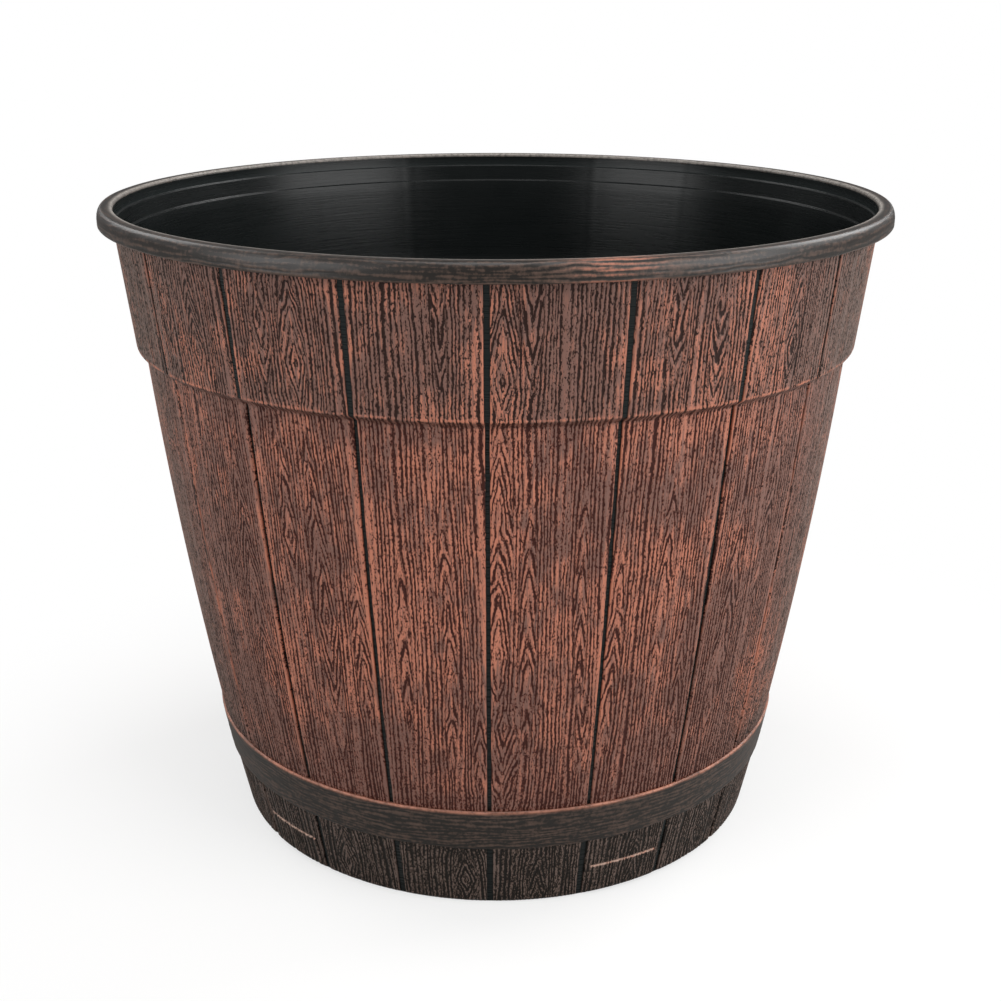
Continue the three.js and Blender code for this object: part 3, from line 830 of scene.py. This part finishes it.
def streak_relief(azimuth, level, seed):
    """Streaks that run round the pot, from 0 to 1: noise drawn out along the azimuth, with a
    wave across it whose crests wander."""
    turn = azimuth / 360
    long, middling, short = STREAK_CELLS
    wander = 1.8 * soft_noise(long * turn, level / 6 + 40, seed, long)
    wander = wander + 0.6 * soft_noise(middling * turn, level / 2 + 40, seed + 1, middling)
    wave = 0.5 + 0.5 * np.cos(2 * np.pi * (level / 1.5 + wander))
    return 0.45 * wave + 0.55 * soft_noise(short * turn, level / 0.5 + 70, seed + 2, short)


def lay_out_ring(profile, columns, strips=8):
    """A ring's quads on its own map, cut into strips that lie one above the other."""
    along = run_lengths(profile, closed=True)
    across = np.arange(columns // strips + 1)
    strip_layouts = []
    for strip in range(strips):
        box = (MAP_MARGIN, (strip + 0.02) / strips, 1 - MAP_MARGIN, (strip + 0.98) / strips)
        strip_layouts.append(lay_out(across, along, box).reshape(len(profile), -1, 4, 2))
    return np.concatenate(strip_layouts, axis=1).reshape(-1, 2)


def hoop():
    """A closed ring: its face follows the wall, with rounded edges that waver a little, and
    its back lies inside the wall."""
    azimuth = 360 / HOOP_COLUMNS * np.arange(HOOP_COLUMNS)[None, :]
    share = np.linspace(0, 1, HOOP_ROWS)[:, None]
    waver = lambda seed: 0.5 * (soft_noise(azimuth / 3.6, 0 * azimuth + 5, seed, 100) - 0.5)
    low, high = FOOT_TOP + waver(41), HOOP_TOP + waver(42)
    z = low + (high - low) * share
    from_edge = np.minimum(z - low, high - z)
    proud = HOOP_PROUD - 0.45 * (1 - smooth(0, 0.7, from_edge))
    streaks = streak_relief(azimuth, z, 43)
    dent = HOOP_RELIEF * (1 - streaks) * smooth(0, 1, from_edge)
    face = outside_radius(np.maximum(z, FOOT_TOP)) + proud - dent
    back_z = np.array([HOOP_TOP - 0.6, FOOT_TOP + 0.6])[:, None] + 0 * azimuth
    back = outside_radius(back_z) - SEAM_DEPTH - 0.5
    points = on_azimuth(np.concatenate([face, back]), azimuth, np.concatenate([z, back_z]))
    quads = grid_quads(*points.shape[:2], closed_rows=True)
    layout = lay_out_ring(points[:, 0], HOOP_COLUMNS)
    piece = new_piece("hoop", points.reshape(-1, 3), quads, layout=layout)
    height = (np.concatenate([z, back_z]) - FOOT_TOP) / (HOOP_TOP - FOOT_TOP)
    streaks = np.concatenate([streaks, 0 * back])
    patchy = 0.6 + 0.8 * soft_noise(azimuth / 4, 0 * height + 9, 45, 90)
    # The upper edge: rubbed copper with a painted highlight, broken by patchy noise.
    top_edge = patchy * bell(height - 0.98, 0.038)
    copper = copper_amount(azimuth, height * 20, 51)
    store(piece, "paint_and_painted_light", np.stack([streaks, top_edge, copper], -1))
    return piece


def streaked_plastic(name, cover, copper_share, edge_highlight_colour):
    """The material of the hoop and the rim: the same rubbed paint over streaks that run round, and
    a brighter edge colour that is a painted highlight, pale on the rim, and copper on the hoop,
    where it is partly rubbed paint too."""
    material, tree, shader = new_material(name)
    paint_and_painted_light = kept_values(tree, "paint_and_painted_light")
    place = add_node(tree, "ShaderNodeTexCoord").outputs["Object"]
    speck = noise(tree, place, 620.0, 3.0, 0.65)
    ridge = maths(tree, "ADD", paint_and_painted_light["X"], ramp(tree, speck, 0.3, 0.7, -0.2, 0.2))
    ridge = maths(tree, "ADD", maths(tree, "MULTIPLY", ridge, 0.8), cover - 0.5, clamp=True)
    copper = maths(tree, "MULTIPLY", paint_and_painted_light["Z"], copper_share, clamp=True)
    rubbed = use_group(tree, copper_rub, {"Ridge": ridge, "Copper": copper})
    # The edge colour is a painted highlight: pale on the rim, copper on the hoop over its rubbed
    # paint.
    edge = maths(tree, "MULTIPLY", paint_and_painted_light["Y"], ramp(tree, speck, 0.25, 0.6, 0.35, 1.0), clamp=True)
    colour = mixed(tree, edge, rubbed["Color"], edge_highlight_colour)
    feed(tree, shader, colour, rubbed["Roughness"], ridge, 0.00012, 0.5)
    return material


dress(hoop(), streaked_plastic("hoop_plastic", 0.3, 0.1, HOOP_EDGE_RUB_AND_HIGHLIGHT))

# ---- Rim ----
# The flange round the mouth, turned down into a lip. It is streaked like the hoop. A pale painted
# highlight runs all round its inner edge, and more copper shows on a short stretch of its top,
# right of the front.

RIM_COLUMNS = 1080
CROWN_WIDTH = 2.1
CROWN_HEIGHT = 4.1
LIP_THICKNESS = 2.2
LIP_EDGE = 0.7
RIM_RELIEF = 0.06
RUBBED_AZIMUTH = 14
RUBBED_WIDTH = 8
RIM_EDGE_HIGHLIGHT_COLOUR = (0.34, 0.31, 0.28, 1)


def rim():
    """A closed ring: up the lip's face, over the crown, in to the mouth's rounded edge, and
    back underneath."""
    inner = outside_radius(LEDGE_LEVEL) - WALL_THICKNESS + LEDGE_WIDTH + NECK_FLARE
    crown, lip_inside = RIM_RADIUS - CROWN_WIDTH, RIM_RADIUS - LIP_THICKNESS
    top = POT_HEIGHT
    face = np.linspace(LIP_BOTTOM + LIP_EDGE, top - CROWN_HEIGHT, 8)
    profile = np.concatenate([
        corner(RIM_RADIUS - LIP_EDGE, LIP_BOTTOM + LIP_EDGE, LIP_EDGE, LIP_EDGE, -90, 0, 6),
        np.stack([np.full(7, RIM_RADIUS), face[1:]], 1),
        corner(crown, top - CROWN_HEIGHT, CROWN_WIDTH, CROWN_HEIGHT, 0, 90, 14)[1:],
        [(r, top) for r in np.linspace(crown, inner + 1, 6)[1:-1]],
        corner(inner + 1, top - 1, 1, 1, 90, 180, 8),
        [(inner, top - 1.6), (inner + 1.2, top - 2.4), (lip_inside, top - 2.4),
         (lip_inside, LIP_BOTTOM + 0.2), (lip_inside + 0.2, LIP_BOTTOM)],
    ])
    points = turned(profile, RIM_COLUMNS)
    azimuth = 360 / RIM_COLUMNS * np.arange(RIM_COLUMNS)[None, :]
    along = run_lengths(profile)[:, None] + 0 * azimuth
    streaks = streak_relief(azimuth, along, 61)
    r, z = profile[:, :1], profile[:, 1:]
    dent = RIM_RELIEF * (1 - streaks) * ((z > LIP_BOTTOM + 0.1) & (r > inner + 0.9))
    points[..., :2] *= (1 - dent / r)[..., None]
    quads = grid_quads(*points.shape[:2], closed_rows=True)
    layout = lay_out_ring(profile, RIM_COLUMNS)
    piece = new_piece("rim", points.reshape(-1, 3), quads, layout=layout)
    # Painted highlight: a pale line along the mouth's rounded inner edge, all round.
    pale = bell(r - inner - 0.7, 0.8) * (z > top - 1.5) + 0 * azimuth
    face = 1 - smooth(top - 5.2, top - 3.2, z)
    copper = copper_amount(azimuth, 0 * along + 251, 71)
    cover = 0.03 + (0.34 + 0.14 * face) * smooth(0.2, 0.8, streaks) + 0.2 * (z < LIP_BOTTOM + 0.7)
    rubbed = bell(wrapped(azimuth) - RUBBED_AZIMUTH, RUBBED_WIDTH)
    cover = cover + 0.75 * rubbed * (1 - 0.7 * face) * smooth(0.1, 0.6, streaks)
    copper = 0.35 * copper * (1 - rubbed) + rubbed
    store(piece, "paint_and_painted_light", np.stack([cover, pale, copper], -1))
    return piece


dress(rim(), streaked_plastic("rim_plastic", 0.5, 0.6, RIM_EDGE_HIGHLIGHT_COLOUR))

# ---- Ribs under the floor ----
# Ten ribs run from a hub ring out to the skirt and stiffen the floor. They are part of the
# black moulding; the small nub in the hub's middle is where it was cut from its runner.

RIB_COUNT = 10
RIB_THICKNESS = 2.0
RIB_BOTTOM = FLOOR_UNDERSIDE - 6
HUB_RADIUS = 20.0
ROOT = 0.6


def floor_ribs():
    """Ribs as bars that thin towards their lower edge, the hub as a turned ring with the same
    taper, and the nub as a small turned dome."""
    blocks, caps, start = [], [], 0
    thin, thick = RIB_THICKNESS * 0.36, RIB_THICKNESS / 2
    root = FLOOR_UNDERSIDE + ROOT
    section = np.array([
        (-thick, root), (-thin, RIB_BOTTOM + 0.3), (-thin + 0.25, RIB_BOTTOM),
        (thin - 0.25, RIB_BOTTOM), (thin, RIB_BOTTOM + 0.3), (thick, root),
    ])
    end = outside_radius(RIB_BOTTOM) - SKIRT_THICKNESS + ROOT
    reach = np.linspace(HUB_RADIUS, end, 12)[:, None]
    for rib in range(RIB_COUNT):
        azimuth = DRAIN_AZIMUTH + 360 / RIB_COUNT * (rib + 0.5)
        turn = azimuth + np.degrees(np.arctan2(section[:, 0], reach))
        bar = on_azimuth(np.hypot(section[:, 0], reach), turn, section[:, 1])
        blocks.append((bar, grid_quads(*bar.shape[:2])))
        caps += end_caps(*bar.shape[:2], start)
        start += bar[..., 0].size
    ring = np.stack([HUB_RADIUS + section[:, 0], section[:, 1]], 1)
    nub = np.array([(0.01, root), (0.01, FLOOR_UNDERSIDE - 0.7), (1.2, FLOOR_UNDERSIDE - 0.6),
                    (2.0, FLOOR_UNDERSIDE - 0.2), (2.2, root)])
    for profile in (ring, nub):
        shape = turned(profile, 96)
        blocks.append((shape, grid_quads(*shape.shape[:2], closed_rows=True)))
    points, quads = merged(blocks)
    return new_piece("floor_ribs", points, quads, caps)


dress(floor_ribs(), black)

# ---- Drain plugs ----
# Five black rubber plugs, pushed into the drain seats from inside. Each has a hollow stem,
# a domed flange and a tab to pull it out by.

PLUG_FLANGE = 11.0
PLUG_COLUMNS = 96
STEM_RADIUS = DRAIN_RADIUS - 0.3
STEM_BOTTOM = BOSS_BOTTOM - 3
TAB_WIDTH = 12.0
TAB_THICKNESS = 2.6
RUBBER = (0.011, 0.011, 0.011, 1)
RUBBER_DUSTY = (0.024, 0.024, 0.023, 1)


def drain_plug(number):
    """The plug turned about its own axis from one profile, and its tab as rounded boxes' loops
    stacked upwards: |x / a|^n + |y / b|^n = 1, with n falling towards the top."""
    azimuth = DRAIN_AZIMUTH + number * DRAIN_ANGLE
    centre = on_azimuth(DRAIN_PITCH_RADIUS, azimuth, 0.0)
    seat, top = SEAT_LEVEL, SEAT_LEVEL + 2.2
    hollow = STEM_RADIUS - 1.8
    radius = np.linspace(PLUG_FLANGE - 0.9, 0.02, 12)
    dome = np.stack([radius, top + 0.6 * (1 - (radius / PLUG_FLANGE) ** 2)], 1)
    profile = np.concatenate([
        [(0.02, seat - 0.6), (hollow - 0.5, seat - 0.6), (hollow, seat - 1.1)],
        near(hollow, STEM_BOTTOM, [(0, 0.3), (0.3, 0)]),
        near(STEM_RADIUS, STEM_BOTTOM, [(-0.9, 0), (0, 0.9)]),
        near(STEM_RADIUS, seat, [(0, -0.15), (0.15, 0)]),
        corner(PLUG_FLANGE - 0.4, seat + 0.4, 0.4, 0.4, -90, 0, 5),
        corner(PLUG_FLANGE - 0.9, top - 0.9, 0.9, 0.9, 0, 90, 7)[:-1],
        dome,
    ])
    body = turned(profile, PLUG_COLUMNS) + centre
    levels = top + np.array([-0.3, 0.5, 1.2, 3, 4.2, 4.8, 5.05, 5.1])[:, None]
    size = np.array([1.12, 1.03, 1.0, 0.98, 0.95, 0.86, 0.66, 0.02])[:, None]
    power = np.array([5, 5, 5, 5, 4.5, 4, 3.5, 3.5])[:, None]
    t = np.linspace(0, 2 * np.pi, PLUG_COLUMNS, endpoint=False)
    swing = lambda wave: np.sign(wave) * np.abs(wave) ** (2 / power)
    x = TAB_WIDTH / 2 * size * swing(np.cos(t))
    y = TAB_THICKNESS / 2 * size * swing(np.sin(t))
    turn = np.radians(azimuth)
    tab = np.stack([x * np.cos(turn) - y * np.sin(turn), x * np.sin(turn) + y * np.cos(turn),
                    levels + 0 * t], -1) + centre
    points, quads = merged([(body, grid_quads(*body.shape[:2], closed_rows=True)),
                            (tab, grid_quads(*tab.shape[:2]))])
    caps = end_caps(*tab.shape[:2], body[..., 0].size)
    return new_piece(f"rubber_plug_{number + 1}", points, quads, caps,
                     body=f"plug_{number + 1}", stands_for=f"drain_plug_{number + 1}")


def plug_rubber():
    """Matte black rubber with a bloom of pale dust."""
    material, tree, shader = new_material("plug_rubber")
    place = add_node(tree, "ShaderNodeTexCoord").outputs["Object"]
    skin = use_group(tree, moulded_skin, {"Place": place, "Scale": 2.0})
    colour = mixed(tree, skin["Dust"], RUBBER, RUBBER_DUSTY)
    roughness = ramp(tree, skin["Dust"], 0, 1, 0.58, 0.74)
    feed(tree, shader, colour, roughness, skin["Dust"], 0.0002, 0.3)
    return material


rubber = plug_rubber()
for plug_number in range(DRAIN_COUNT):
    dress(drain_plug(plug_number), rubber)

# ---- Setting ----
# A pale floor under soft lamps, seen by a camera in front and a little above, as a
# catalogue picture is taken. The background is plain white.

CAMERA_DISTANCE = 0.5785
CAMERA_HEIGHT = 0.3263
CAMERA_PITCH = 19.37
LENS = 52.39
SENSOR_WIDTH = 36
AXIS_PIXEL = 495.66
IMAGE_WIDTH = 1001
WORLD_LEVEL = 0.2
GLOSSY_LEVEL = 0.2
FLOOR_HALF = 3.0


def camera():
    """Looks along +Y and down; its shift puts the pot's axis left of the picture's middle."""
    data = bpy.data.cameras.new("camera")
    data.lens = LENS
    data.sensor_width = SENSOR_WIDTH
    data.shift_x = (IMAGE_WIDTH / 2 - AXIS_PIXEL) / IMAGE_WIDTH
    seen_from = placed("camera", data)
    seen_from.location = (0, -CAMERA_DISTANCE, CAMERA_HEIGHT)
    seen_from.rotation_euler = (np.radians(90 - CAMERA_PITCH), 0, 0)
    bpy.context.scene.camera = seen_from


def lamp(name, location, aim, size, power):
    """A soft square lamp that faces a point."""
    data = bpy.data.lights.new(name, "AREA")
    data.shape = "RECTANGLE"
    data.size, data.size_y = size
    data.energy = power
    light = placed(name, data)
    light.location = location
    light.visible_camera = False
    x, y, z = np.array(aim) - np.array(location)
    light.rotation_euler = (np.arctan2(np.hypot(x, y), -z), 0, np.arctan2(-x, y))


def white_world():
    """Lights the pot from all round at a low level, and shows as white."""
    world = bpy.data.worlds.new("world")
    world.use_nodes = True
    tree = world.node_tree
    path = add_node(tree, "ShaderNodeLightPath").outputs
    seen = maths(tree, "MAXIMUM", path["Is Camera Ray"], path["Is Transmission Ray"])
    glossy = maths(tree, "MULTIPLY", path["Is Glossy Ray"], GLOSSY_LEVEL)
    level = maths(tree, "MAXIMUM", maths(tree, "MAXIMUM", seen, glossy), WORLD_LEVEL)
    shown = tree.nodes["Background"]
    shown.inputs["Color"].default_value = (1, 1, 1, 1)
    tree.links.new(level, shown.inputs["Strength"])
    bpy.context.scene.world = world


def floor():
    """A wide sheet that fades to white away from the pot, so that only its shadow shows."""
    mesh = bpy.data.meshes.new("floor")
    corners = [(-1, -1, 0), (1, -1, 0), (1, 1, 0), (-1, 1, 0)]
    mesh.from_pydata(FLOOR_HALF * np.array(corners), [], [(0, 1, 2, 3)])
    sheet = placed("floor", mesh)
    material, tree, shader = new_material("floor_paper")
    shader.inputs["Roughness"].default_value = 0.9
    place = add_node(tree, "ShaderNodeTexCoord").outputs["Object"]
    far = add_node(tree, "ShaderNodeVectorMath", {0: place}, operation="LENGTH").outputs["Value"]
    away = ramp(tree, far, 0.11, 0.34, 0.62, 1.0)
    path = add_node(tree, "ShaderNodeLightPath").outputs
    seen = maths(tree, "MAXIMUM", path["Is Camera Ray"], path["Is Transmission Ray"])
    paper = mixed(tree, seen, (0.35, 0.35, 0.34, 1), (0.9, 0.9, 0.89, 1))
    tree.links.new(paper, shader.inputs["Base Color"])
    glow = add_node(tree, "ShaderNodeEmission", {"Color": (1, 1, 1, 1), "Strength": 1.0}).outputs[0]
    blend = add_node(tree, "ShaderNodeMixShader", {
        0: maths(tree, "MULTIPLY", away, seen), 1: shader.outputs[0], 2: glow}).outputs[0]
    tree.links.new(blend, tree.nodes["Material Output"].inputs["Surface"])
    mesh.materials.append(material)


camera()
white_world()
floor()
lamp("top", (0.0, -0.55, 1.85), (0, 0, 0.15), (1.2, 0.8), 14)
lamp("window_right", (1.29, -0.78, 0.65), (0, 0, 0.2), (1.25, 1.1), 17.5)
lamp("window_left", (-1.25, -0.84, 0.6), (0, 0, 0.2), (1.0, 0.95), 10.5)
lamp("side_left", (-1.2, 0.8, 1.15), (0, 0, 0.15), (1.0, 0.9), 10)
lamp("side_right", (1.25, 0.7, 1.15), (0, 0, 0.15), (1.1, 0.9), 19)
bpy.context.scene.view_settings.view_transform = "Standard"
